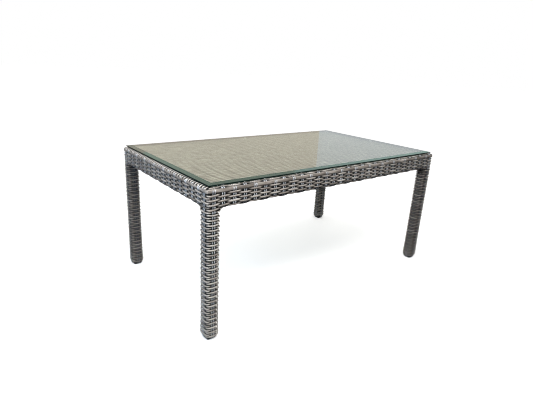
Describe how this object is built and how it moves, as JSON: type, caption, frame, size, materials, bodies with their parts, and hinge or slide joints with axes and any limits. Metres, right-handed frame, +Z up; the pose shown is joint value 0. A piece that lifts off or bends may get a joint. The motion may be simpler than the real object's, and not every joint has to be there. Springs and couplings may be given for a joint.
{
  "type": "wicker coffee table",
  "caption": "Rectangular garden coffee table: woven wicker over a tube frame on square legs, with a loose bevelled glass plate lying on the woven top.",
  "frame": {"origin": "on the floor under the middle of the table", "axes": "+X along the long side, +Y away from the front long side, +Z up"},
  "size_m": [1.016, 0.586, 0.456],
  "materials": {
    "glass": "clear float glass with a green edge and a polished bevel",
    "clear_rubber": "clear soft pad",
    "wicker_weaver": "half-round resin strand, taupe grey with darker streaks, satin",
    "wicker_stake": "half-round resin strand, pale blue grey, satin",
    "powder_coat": "dark fine-textured powder coat",
    "staple_steel": "bright zinc",
    "black_plastic": "moulded black, slightly scuffed underneath"
  },
  "bodies": {
    "base": {"anti_slip_pads": "clear_rubber", "top_weavers": "wicker_weaver", "top_stakes": "wicker_stake", "left_edge_wraps": "wicker_weaver", "right_edge_wraps": "wicker_weaver", "front_apron_weavers": "wicker_weaver", "back_apron_weavers": "wicker_weaver", "left_apron_weavers": "wicker_weaver", "right_apron_weavers": "wicker_weaver", "front_apron_stakes": "wicker_stake", "back_apron_stakes": "wicker_stake", "left_apron_stakes": "wicker_stake", "right_apron_stakes": "wicker_stake", "stake_staples": "staple_steel", "front_left_leg_weavers": "wicker_weaver", "front_right_leg_weavers": "wicker_weaver", "back_left_leg_weavers": "wicker_weaver", "back_right_leg_weavers": "wicker_weaver", "front_left_leg_stakes": "wicker_stake", "front_right_leg_stakes": "wicker_stake", "back_left_leg_stakes": "wicker_stake", "back_right_leg_stakes": "wicker_stake", "front_left_leg_tube": "powder_coat", "front_right_leg_tube": "powder_coat", "back_left_leg_tube": "powder_coat", "back_right_leg_tube": "powder_coat", "front_left_foot_glide": "black_plastic", "front_right_foot_glide": "black_plastic", "back_left_foot_glide": "black_plastic", "back_right_foot_glide": "black_plastic", "front_top_rail": "powder_coat", "back_top_rail": "powder_coat", "left_top_rail": "powder_coat", "right_top_rail": "powder_coat", "front_lower_rail": "powder_coat", "back_lower_rail": "powder_coat", "left_lower_rail": "powder_coat", "right_lower_rail": "powder_coat", "left_cross_bar": "powder_coat", "middle_cross_bar": "powder_coat", "right_cross_bar": "powder_coat"},
    "glass": {"glass_top": "glass"}
  },
  "joints": [
    {"name": "glass_lift", "type": "slide", "parent": "base", "child": "glass", "axis": [0, 0, 1], "range_m": [0, 0.15]}
  ]
}
